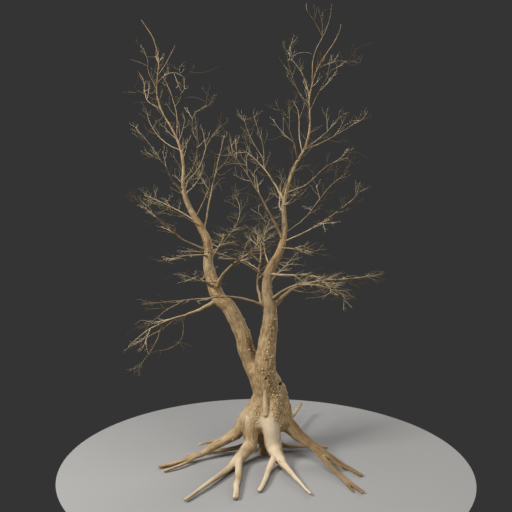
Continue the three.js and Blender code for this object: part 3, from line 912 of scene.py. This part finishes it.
upper = [barkedTube(*upperStems[node], body["corners"]["upper"], 200 + number)
         for number, node in enumerate(stems)]
for part in upper:
    part["weather"] = part["weather"] * boughBark["stemBleach"]
lowerBoughs, upperBoughs = {}, {}
for number, name in enumerate([*boughs, *smallLimbs]):
    points, radii = limbs[name]
    made = barkedTube(points, radii, cornersFor(radii[:20].mean()), number)
    (lowerBoughs if points[0][2] < boughBark["parting"] else upperBoughs)[name] = made
barkUpper = barkPiece("barkUpperStems", upper)
barkPeg = barkPiece("barkStub", [stubTube(lift)])
barkLow = barkPiece("barkLowerBoughs", list(lowerBoughs.values()))
barkHigh = barkPiece("barkUpperBoughs", list(upperBoughs.values()))

# Twigs. Each order grows from the one before: how close together, how long and how thick its shoots
# are, how many degrees they lean out, from what share of the parent's length they stand, how they
# kink, and how many stand at its very tip.
twigs = {
    "branchlets": {"gap": 0.126, "length": (0.20, 0.56), "thick": (0.0036, 0.0058), "tip": 0.0018,
                   "lean": (30, 58), "from": 0.22, "points": 8, "corners": 6, "kink": 0.003, "tips": 2},
    "twigs": {"gap": 0.074, "length": (0.11, 0.29), "thick": (0.0020, 0.0028), "tip": 0.0011,
              "lean": (28, 55), "from": 0.15, "points": 5, "corners": 5, "kink": 0.001, "tips": 1},
    "spurs": {"gap": 0.085, "length": (0.05, 0.130), "thick": (0.0011, 0.0015), "tip": 0.0007,
              "lean": (28, 58), "from": 0.2, "points": 3, "corners": 4, "kink": 0.0, "tips": 1},
    "whiskers": {"count": 110, "length": (0.16, 0.42), "thick": 0.0020, "tip": 0.0009, "outward": 0.65,
                 "spread": 0.7, "climb": (-0.6, 0.9), "sway": 0.25, "curl": (0.2, 0.8), "points": 14,
                 "corners": 5},
    "flatLow": 0.86,  # how flat the sprays lie below the crown's turn
    "flatHigh": 0.15,  # and above it
    "riseLow": 0.02,  # how much shoots turn upward below it
    "riseHigh": 0.50,  # and above it
    "turn": (3.05, 3.75),  # heights between which the sprays go from low to high
    "goldenAngle": 2.39996,
    "outward": 0.15,  # how much they turn away from the trunk
    "tipShort": 0.62,  # how much shorter shoots are near their parent's tip
    "lowDensity": 1.38,  # how many more shoots there are below the crown's turn
    "lowThick": 2.05,  # how much thicker they are there
    "topHeights": (3.9, 4.6),  # between these heights the shoots grow sparser
    "topSparser": 0.26,  # by this share
    "sparse": {"left_low_bough": 0.45, "left_low_fork": 0.5, "leftLowDrop": 0.35, "leftLowWhip": 0.2,
               "right_low_cross": 0.35, "left_lift_bough": 0.7, "right_top_bough": 0.35,
               "left_crown_top": 0.6, "leftCrownWing": 0.6},
    "thickets": [  # x and height of the densest places: between the stems, and low on the right
        {"place": (-0.2, 3.1), "half": (0.38, 0.45), "more": 1.1},
        {"place": (0.62, 2.25), "half": (0.50, 0.22), "more": 0.85},
    ],
    "tops": [(-0.6, 5.46), (0.54, 5.60)],  # left of the first, no shoot stands above the second
    "lowest": 0.25,  # no shoot goes lower
    "lowMargin": (0.0, 0.06),  # how far they may pass the limbs' box on each side
    "highMargin": (0.03, 0.06, 0.02),
    "stemSpan": (0.42, 0.90),  # the stretch of stems and boughs that bears shoots
    "boughSpan": (0.12, 1.0),
    "spanPoints": 40,
    "middlePoint": 24,  # the one that stands for the whole in a thicket
    "most": 190000,  # triangles in one piece
}


# The low value below the crown's turn, the high one above it, and smooth between.
def byHeight(heights, low, high):
    return low + (high - low) * smoothStep(*twigs["turn"], heights)


# Lines of a family of shoots as one array, from starts, headings, lengths: each step's heading
# strays by its own kink, and turns upward and outward with distance.
def shootLines(starts, heading, length, spec, rng):
    steps = spec["points"] - 1
    lines = [starts]
    now = heading
    rise = byHeight(starts[:, 2], twigs["riseLow"], twigs["riseHigh"])[:, None]
    for step in range(steps):
        stray = rng.normal(0, 1, starts.shape) * 2.4 * spec["kink"] / np.maximum(length, 0.05)[:, None]
        out = lines[-1] * [1, 1, 0]
        out[:, :2] -= centreLine(lines[-1][:, 2])
        lift = (np.array([0, 0, 1.0]) * rise + unit(out) * twigs["outward"] * 0.5) / steps
        now = unit(now + stray + lift)
        lines.append(lines[-1] + now * (length / steps)[:, None])
    return np.stack(lines, axis=1)


# Middle of the whole crown at a height: the mean of the two stems.
def centreLine(heights):
    means = []
    for axis in (0, 1):
        sides = [np.interp(heights, limbs[node][0][:, 2], limbs[node][0][:, axis]) for node in stems]
        means.append(sum(sides) / 2)
    return np.stack(means, axis=1)


# Shoots along parent lines: one every gap, plus some at the very tip. Round the parent they step
# by the golden angle, squeezed towards level by the flatness.
def growShoots(lines, radii, spec, rng, share):
    count, points = lines.shape[:2]
    length = size(np.diff(lines, axis=1)).sum(1)
    height = lines[:, points // 2, 2]
    many = byHeight(height, twigs["lowDensity"], 1.0)
    many = many * (1 - twigs["topSparser"] * smoothStep(*twigs["topHeights"], height))
    wanted = length * (1 - spec["from"]) / spec["gap"] * many * share
    wanted = np.maximum(1, np.round(wanted)).astype(int)
    parent = np.repeat(np.arange(count), wanted)
    order = np.concatenate([np.arange(n) for n in wanted])
    spot = (order + rng.uniform(0.1, 0.9, len(order))) / wanted[parent]
    along = spec["from"] + (1 - spec["from"]) * spot
    parent = np.concatenate([parent, np.repeat(np.arange(count), spec["tips"])])
    order = np.concatenate([order, np.tile(np.arange(spec["tips"]), count)])
    along = np.concatenate([along, np.full(count * spec["tips"], 0.985)])
    return *shootsAt(lines, radii, parent, order, along, spec, rng), parent


# The shoots themselves, once it is known which parent each stands on and how far along.
def shootsAt(lines, radii, parent, order, along, spec, rng):
    place = np.clip(along, 0, 1) * (lines.shape[1] - 1)
    low = np.minimum(place.astype(int), lines.shape[1] - 2)
    part = (place - low)[:, None]
    starts = lines[parent, low] * (1 - part) + lines[parent, low + 1] * part
    girth = radii[parent, low] * (1 - part[:, 0]) + radii[parent, low + 1] * part[:, 0]
    forward = unit(lines[parent, low + 1] - lines[parent, low])
    level = unit(np.cross(forward, [0.0, 0, 1]) + 1e-6)
    over = np.cross(level, forward)
    turn = order * twigs["goldenAngle"] + rng.uniform(0, 6.28, lines.shape[0])[parent]
    turn = turn + rng.normal(0, 0.35, len(parent))
    flat = byHeight(starts[:, 2], twigs["flatLow"], twigs["flatHigh"])
    aside = level * np.cos(turn)[:, None] + over * (np.sin(turn) * (1 - flat))[:, None]
    lean = np.radians(rng.uniform(*spec["lean"], len(parent)))[:, None]
    heading = unit(forward * np.cos(lean) + unit(aside) * np.sin(lean))
    shorter = 1 - twigs["tipShort"] * np.clip(along, 0, 1)
    length = rng.uniform(*spec["length"], len(parent)) * shorter * rng.uniform(0.6, 1.1, len(parent))
    made = shootLines(starts, heading, length, spec, rng)
    thick = rng.uniform(*spec["thick"], len(parent)) * byHeight(starts[:, 2], twigs["lowThick"], 1.0)
    thick = np.minimum(thick, girth * 0.9)
    tips = np.full(len(parent), spec["tip"])
    widths = thick[:, None] + (tips - thick)[:, None] * np.linspace(0, 1, made.shape[1])[None] ** 0.8
    return made, np.maximum(widths, spec["tip"] * 0.8)


# Shoots that leave the limbs' box by more than the margins, or come too low, are left out.
def insideBox(lines, radii, parent):
    low = np.append(cadLow[:2] - twigs["lowMargin"], twigs["lowest"])
    high = cadHigh + twigs["highMargin"]
    fits = ((lines > low) & (lines < high)).all(axis=(1, 2))
    for edge, top in twigs["tops"]:
        fits &= ((lines[..., 0] > edge) | (lines[..., 2] < top)).all(axis=1)
    return lines[fits], radii[fits], parent[fits]


# A limb as a line of few points, so that limbs of every length can grow shoots in one array.
def fewPoints(points, radii, start, end, count):
    along = np.linspace(start, end, count) * (len(points) - 1)
    at = np.arange(len(points))
    line = np.stack([np.interp(along, at, points[:, axis]) for axis in range(3)], 1)
    return line, np.interp(along, at, radii)


rng = np.random.default_rng(77)
spans = {name: twigs["stemSpan"] for name in stems}
spans |= {name: twigs["boughSpan"] for name in [*boughs, *smallLimbs]}
bearing = [fewPoints(*limbs[name], *span, twigs["spanPoints"]) for name, span in spans.items()]
lines, widths = [np.stack(part) for part in zip(*bearing)]
share = np.array([twigs["sparse"].get(name, 1.0) for name in spans])
for thicket in twigs["thickets"]:
    offset = lines[:, twigs["middlePoint"]][:, [0, 2]] - thicket["place"]
    offset = offset / thicket["half"]
    share = share * (1 + thicket["more"] * np.exp(-(offset ** 2).sum(1)))

# Each family of shoots: its lines, their radii, and the spray that each belongs to.
families = {}
for name in ("branchlets", "twigs", "spurs"):
    lines, widths, parent = insideBox(*growShoots(lines, widths, twigs[name], rng, share))
    sprays = sprays[parent] if families else np.arange(len(lines))
    families[name] = (lines, widths, sprays)
    share = 1.0


# Whiskers: long thin shoots that arc away from the limbs. Point = start + reach t + bend t^2.
def whiskerLines(starts, spec, rng):
    count = len(starts)
    t = np.linspace(0, 1, spec["points"])[None, :, None]
    around = rng.uniform(0, 2 * math.pi, count)
    out = starts[:, :2] - centreLine(starts[:, 2])
    outward = rng.uniform(0, 1, count) < spec["outward"]
    away = np.arctan2(out[:, 1], out[:, 0]) + rng.normal(0, spec["spread"], count)
    around = np.where(outward, away, around)
    climb = rng.uniform(*spec["climb"], count)
    reach = unit(np.stack([np.cos(around), np.sin(around), climb], 1))
    length = rng.uniform(*spec["length"], count)[:, None]
    sway = [rng.normal(0, spec["sway"], count) for axis in range(2)]
    curl = np.where(climb > 0.1, -1, 1) * rng.uniform(*spec["curl"], count)
    bend = np.stack([*sway, curl], 1)
    return starts[:, None] + t * (reach * length)[:, None] + t ** 2 * (bend * length)[:, None]


spec = twigs["whiskers"]
first = families["branchlets"][0]
pick = rng.integers(0, len(first), spec["count"])
starts = first[pick, rng.integers(2, first.shape[1], spec["count"])]
lines = whiskerLines(starts, spec, rng)
taper = np.linspace(spec["thick"], spec["tip"], spec["points"])[None]
families["whiskers"] = insideBox(lines, np.repeat(taper, len(lines), 0), pick)
print("shoots", {name: len(lines) for name, (lines, widths, sprays) in families.items()})


# One piece of twigs from lines; each face takes the colour of its spray.
def twigPiece(name, lines, widths, corners, sprays):
    tube = tubes(lines, widths, corners)
    piece = meshPiece(name, tube["places"], tube["quads"], tube["tris"])
    line = tube["line"][np.concatenate([tube["quads"][:, 0], tube["tris"][:, 0]])]
    shade = cellValue(np.stack([sprays, sprays * 0, sprays * 0], 1), 6) * len(twigColours)
    shade = np.minimum(shade, len(twigColours) - 1).astype(np.int32)
    piece.data.polygons.foreach_set("material_index", shade[line])
    return piece


# Twigs are too thin to show a pattern: each spray has one of these plain colours.
twigColours = {"pale": (0.408, 0.337, 0.221, 1), "brown": (0.094, 0.066, 0.034, 1),
               "olive": (0.178, 0.147, 0.077, 1)}
twigPieces = []
for name, (lines, widths, sprays) in families.items():
    corners = twigs[name]["corners"]
    perLine = lines.shape[1] * corners * 2
    groups = math.ceil(len(lines) * perLine / twigs["most"])
    for group in range(groups):
        part = slice(group * len(lines) // groups, (group + 1) * len(lines) // groups)
        piece = twigPiece(name + str(group + 1), lines[part], widths[part], corners, sprays[part])
        twigPieces.append(piece)
        print(piece.name, len(lines[part]) * perLine, "triangles")


# A socket that can be used in sums: every operator adds one Math node and wraps its result.
class Wire:
    def __init__(self, shader, socket):
        self.shader = shader
        self.socket = socket

    def maths(self, operation, first, second):
        return self.shader.node("ShaderNodeMath", {"operation": operation}, {0: first, 1: second})[0]

    def __add__(self, other):
        return self.maths("ADD", self, other)

    def __rsub__(self, other):
        return self.maths("SUBTRACT", other, self)

    def __mul__(self, other):
        return self.maths("MULTIPLY", self, other)

    __rmul__ = __mul__


# A material being built. node makes any node: settings are set first, then each input takes a
# value or a link, and the outputs come back as wires.
class Shader:
    def __init__(self, name):
        self.material = bpy.data.materials.new(name)
        self.material.use_nodes = True
        self.tree = self.material.node_tree
        self.tree.nodes.clear()

    def node(self, kind, settings, inputs):
        made = self.tree.nodes.new(kind)
        for key, value in settings.items():
            setattr(made, key, value)
        for key, value in inputs.items():
            if isinstance(value, Wire):
                self.tree.links.new(value.socket, made.inputs[key])
            else:
                made.inputs[key].default_value = value
        return [Wire(self, socket) for socket in made.outputs]

    # 0 to 1 as x goes from low to high.
    def ramp(self, x, low, high):
        inputs = {"Value": x, "From Min": low, "From Max": high}
        return self.node("ShaderNodeMapRange", {"interpolation_type": "SMOOTHSTEP"}, inputs)[0]

    # first (1 - share) + second share.
    def blend(self, share, first, second):
        inputs = {0: share, 6: first, 7: second}
        return self.node("ShaderNodeMix", {"data_type": "RGBA"}, inputs)[2]

    # Layered noise from 0 to 1.
    def noise(self, place, scale, detail):
        inputs = {"Vector": place, "Scale": scale, "Detail": detail, "Roughness": 0.6}
        return self.node("ShaderNodeTexNoise", {}, inputs)[0]

    def finish(self, colour, roughness, normal=None):
        inputs = {"Base Color": colour, "Roughness": roughness, "Specular IOR Level": 0.25}
        if normal:
            inputs["Normal"] = normal
        skin = self.node("ShaderNodeBsdfPrincipled", {}, inputs)[0]
        self.node("ShaderNodeOutputMaterial", {}, {"Surface": skin})
        return self.material


# Bark colours, and the layers they lie in over the first one: each shows as its field goes from
# the first number to the second, by at most its share.
barkColours = {
    "mid": (0.260, 0.166, 0.073, 1),
    "worn": (0.440, 0.325, 0.184, 1),
    "grey": (0.360, 0.285, 0.185, 1),
    "blotch": (0.200, 0.130, 0.062, 1),
    # bleached wood on tops, with a painted highlight
    "bleached": (0.680, 0.580, 0.430, 1),
    # painted shade: undersides, and roots that face away from the light
    "under": (0.130, 0.076, 0.030, 1),
    # dark bark: in the fine grain its own colour, in cracks and grooves partly painted shade
    "deep": (0.105, 0.058, 0.021, 1),
    "speck": (0.130, 0.076, 0.033, 1),
    # painted shade inside the knot holes
    "hollow": (0.020, 0.013, 0.008, 1),
    "black": (0.0, 0.0, 0.0, 1),
    # painted highlight: the knobs are paler than the bark, as if catching the light
    "knob": (0.500, 0.375, 0.220, 1),
}
barkLayers = [
    ("worn", "streak", 0.36, 0.66, 1.0),
    ("grey", "patch", 0.45, 0.70, 0.55),
    ("blotch", "blotch", 0.48, 0.66, 0.68),
    ("bleached", "weather", 0.05, 1.0, 0.75),
    ("under", "shelter", 0.0, 1.0, 0.60),
    ("deep", "crack", -0.50, -0.05, 0.60),
    ("deep", "fine", 0.54, 0.70, 0.34),
    ("speck", "speck", 0.66, 0.74, 0.6),
    ("hollow", "shelter", 1.1, 1.8, 1.0),
]


# Bark: streaks and fine grain are noise along the limb, patches, blotches and specks noise in
# space; the painted-shade field is minus the weathering with painted light, and crack = -tone. The
# bump is the fine grain with some streak.
def barkMaterial(name, shade, streakScale):
    shader = Shader(name)
    grain, tone, weather = [
        shader.node("ShaderNodeAttribute", {"attribute_name": key}, {})[output]
        for key, output in (("grain", 1), ("tone", 2), ("weather", 2))]
    place = shader.node("ShaderNodeTexCoord", {}, {})[3]
    fields = {
        "streak": shader.noise(grain, streakScale, 4.0),
        "fine": shader.noise(grain, streakScale * 5, 3.0),
        "patch": shader.noise(place, 2.6, 3.0),
        "speck": shader.noise(place, 120.0, 2.0),
        "blotch": shader.noise(place, 13.0, 4.0),
        "weather": weather, "shelter": 0 - weather, "crack": 0 - tone,
    }
    colour = barkColours["mid"]
    for layer, field, low, high, share in barkLayers:
        shown = shader.ramp(fields[field], low, high) * share
        colour = shader.blend(shown, colour, barkColours[layer])
    # Painted shade: a shade below 1 darkens the whole colour towards black.
    colour = shader.blend(1 - shade, colour, barkColours["black"])
    relief = fields["fine"] * 0.6 + fields["streak"] * 0.4
    bump = {"Strength": 0.40, "Distance": 0.004, "Height": relief}
    bump = shader.node("ShaderNodeBump", {}, bump)[0]
    return shader.finish(colour, 0.95 - 0.2 * fields["streak"], bump)


bodyBark = barkMaterial("bodyBark", 1.0, 60.0)
# The boughs' bark is the body's bark as a darker, painted-shade copy.
boughBarkMaterial = barkMaterial("boughBark", 0.85, 90.0)
# The knobs' paler colour is a painted highlight.
knobBark = Shader("knobBark").finish(barkColours["knob"], 0.85)
twigBarks = [Shader("twig" + name.title()).finish(colour, 0.85) for name, colour in twigColours.items()]
worn = {barkBody: [bodyBark], barkKnobs: [knobBark], barkPeg: [bodyBark]}
worn |= {piece: [boughBarkMaterial] for piece in (barkUpper, barkLow, barkHigh)}
worn |= {piece: twigBarks for piece in twigPieces}
for piece, materials in worn.items():
    for material in materials:
        piece.data.materials.append(material)

# The floor is a round grey disc, and the light a large soft key from the left, a fill from the
# right, a soft top and a back light from the right, over a dark grey surround.
studio = {
    "floorRadius": 2.6, "floorCorners": 128, "floorHeight": -0.002,
    "floor": (0.285, 0.29, 0.30, 1), "surround": (0.0343, 0.0343, 0.0343, 1),
    "lightColour": (1.0, 0.96, 0.90), "aim": (0, 0, 2.4),
    "lamps": {
        "key": {"place": (-7.0, -3.9, 6.8), "size": 3.0, "power": 1090},
        "fill": {"place": (5.5, -6.5, 3.5), "size": 5.0, "power": 260},
        "top": {"place": (-0.5, -2.0, 9.5), "size": 5.0, "power": 420},
        "back": {"place": (5.0, 6.5, 4.5), "size": 4.0, "power": 380},
    },
}
count = studio["floorCorners"]
turn = np.linspace(0, 2 * math.pi, count, endpoint=False)
disc = np.zeros((count + 1, 3))  # the last corner is the middle
disc[:-1, :2] = np.stack([np.cos(turn), np.sin(turn)], 1) * studio["floorRadius"]
disc[:, 2] = studio["floorHeight"]
index = np.arange(count)
fan = np.stack([np.full(count, count), index, np.roll(index, -1)], 1)
floor = meshPiece("floor", disc, np.zeros((0, 4), int), fan)
floor.data.materials.append(Shader("floorPaint").finish(studio["floor"], 0.9))
for name, spec in studio["lamps"].items():
    lamp = bpy.data.lights.new(name + "Light", "AREA")
    lamp.energy = spec["power"]
    lamp.color = studio["lightColour"]
    lamp.size = spec["size"]
    holder = bpy.data.objects.new(name + "Light", lamp)
    holder.location = spec["place"]
    aim = Vector(studio["aim"]) - Vector(spec["place"])
    holder.rotation_euler = aim.to_track_quat("-Z", "Y").to_euler()
    bpy.context.collection.objects.link(holder)
world = bpy.data.worlds.new("surround")
world.use_nodes = True
world.node_tree.nodes["Background"].inputs["Color"].default_value = studio["surround"]
bpy.context.scene.world = world
bpy.context.scene.view_settings.view_transform = "Standard"

nodesOf = {
    barkBody: ["trunk"] + stems + roots,
    barkLow: [name for name in lowerBoughs if name in boughs],
    barkHigh: [name for name in upperBoughs if name in boughs],
}
for piece, nodes in nodesOf.items():
    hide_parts(*nodes)
trunkPieces = (barkBody, barkKnobs, barkPeg, barkUpper)
for piece in (*trunkPieces, barkLow, barkHigh, *twigPieces):
    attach(piece, "root")
    "trunk_bark" if piece in trunkPieces else "bough_bark"
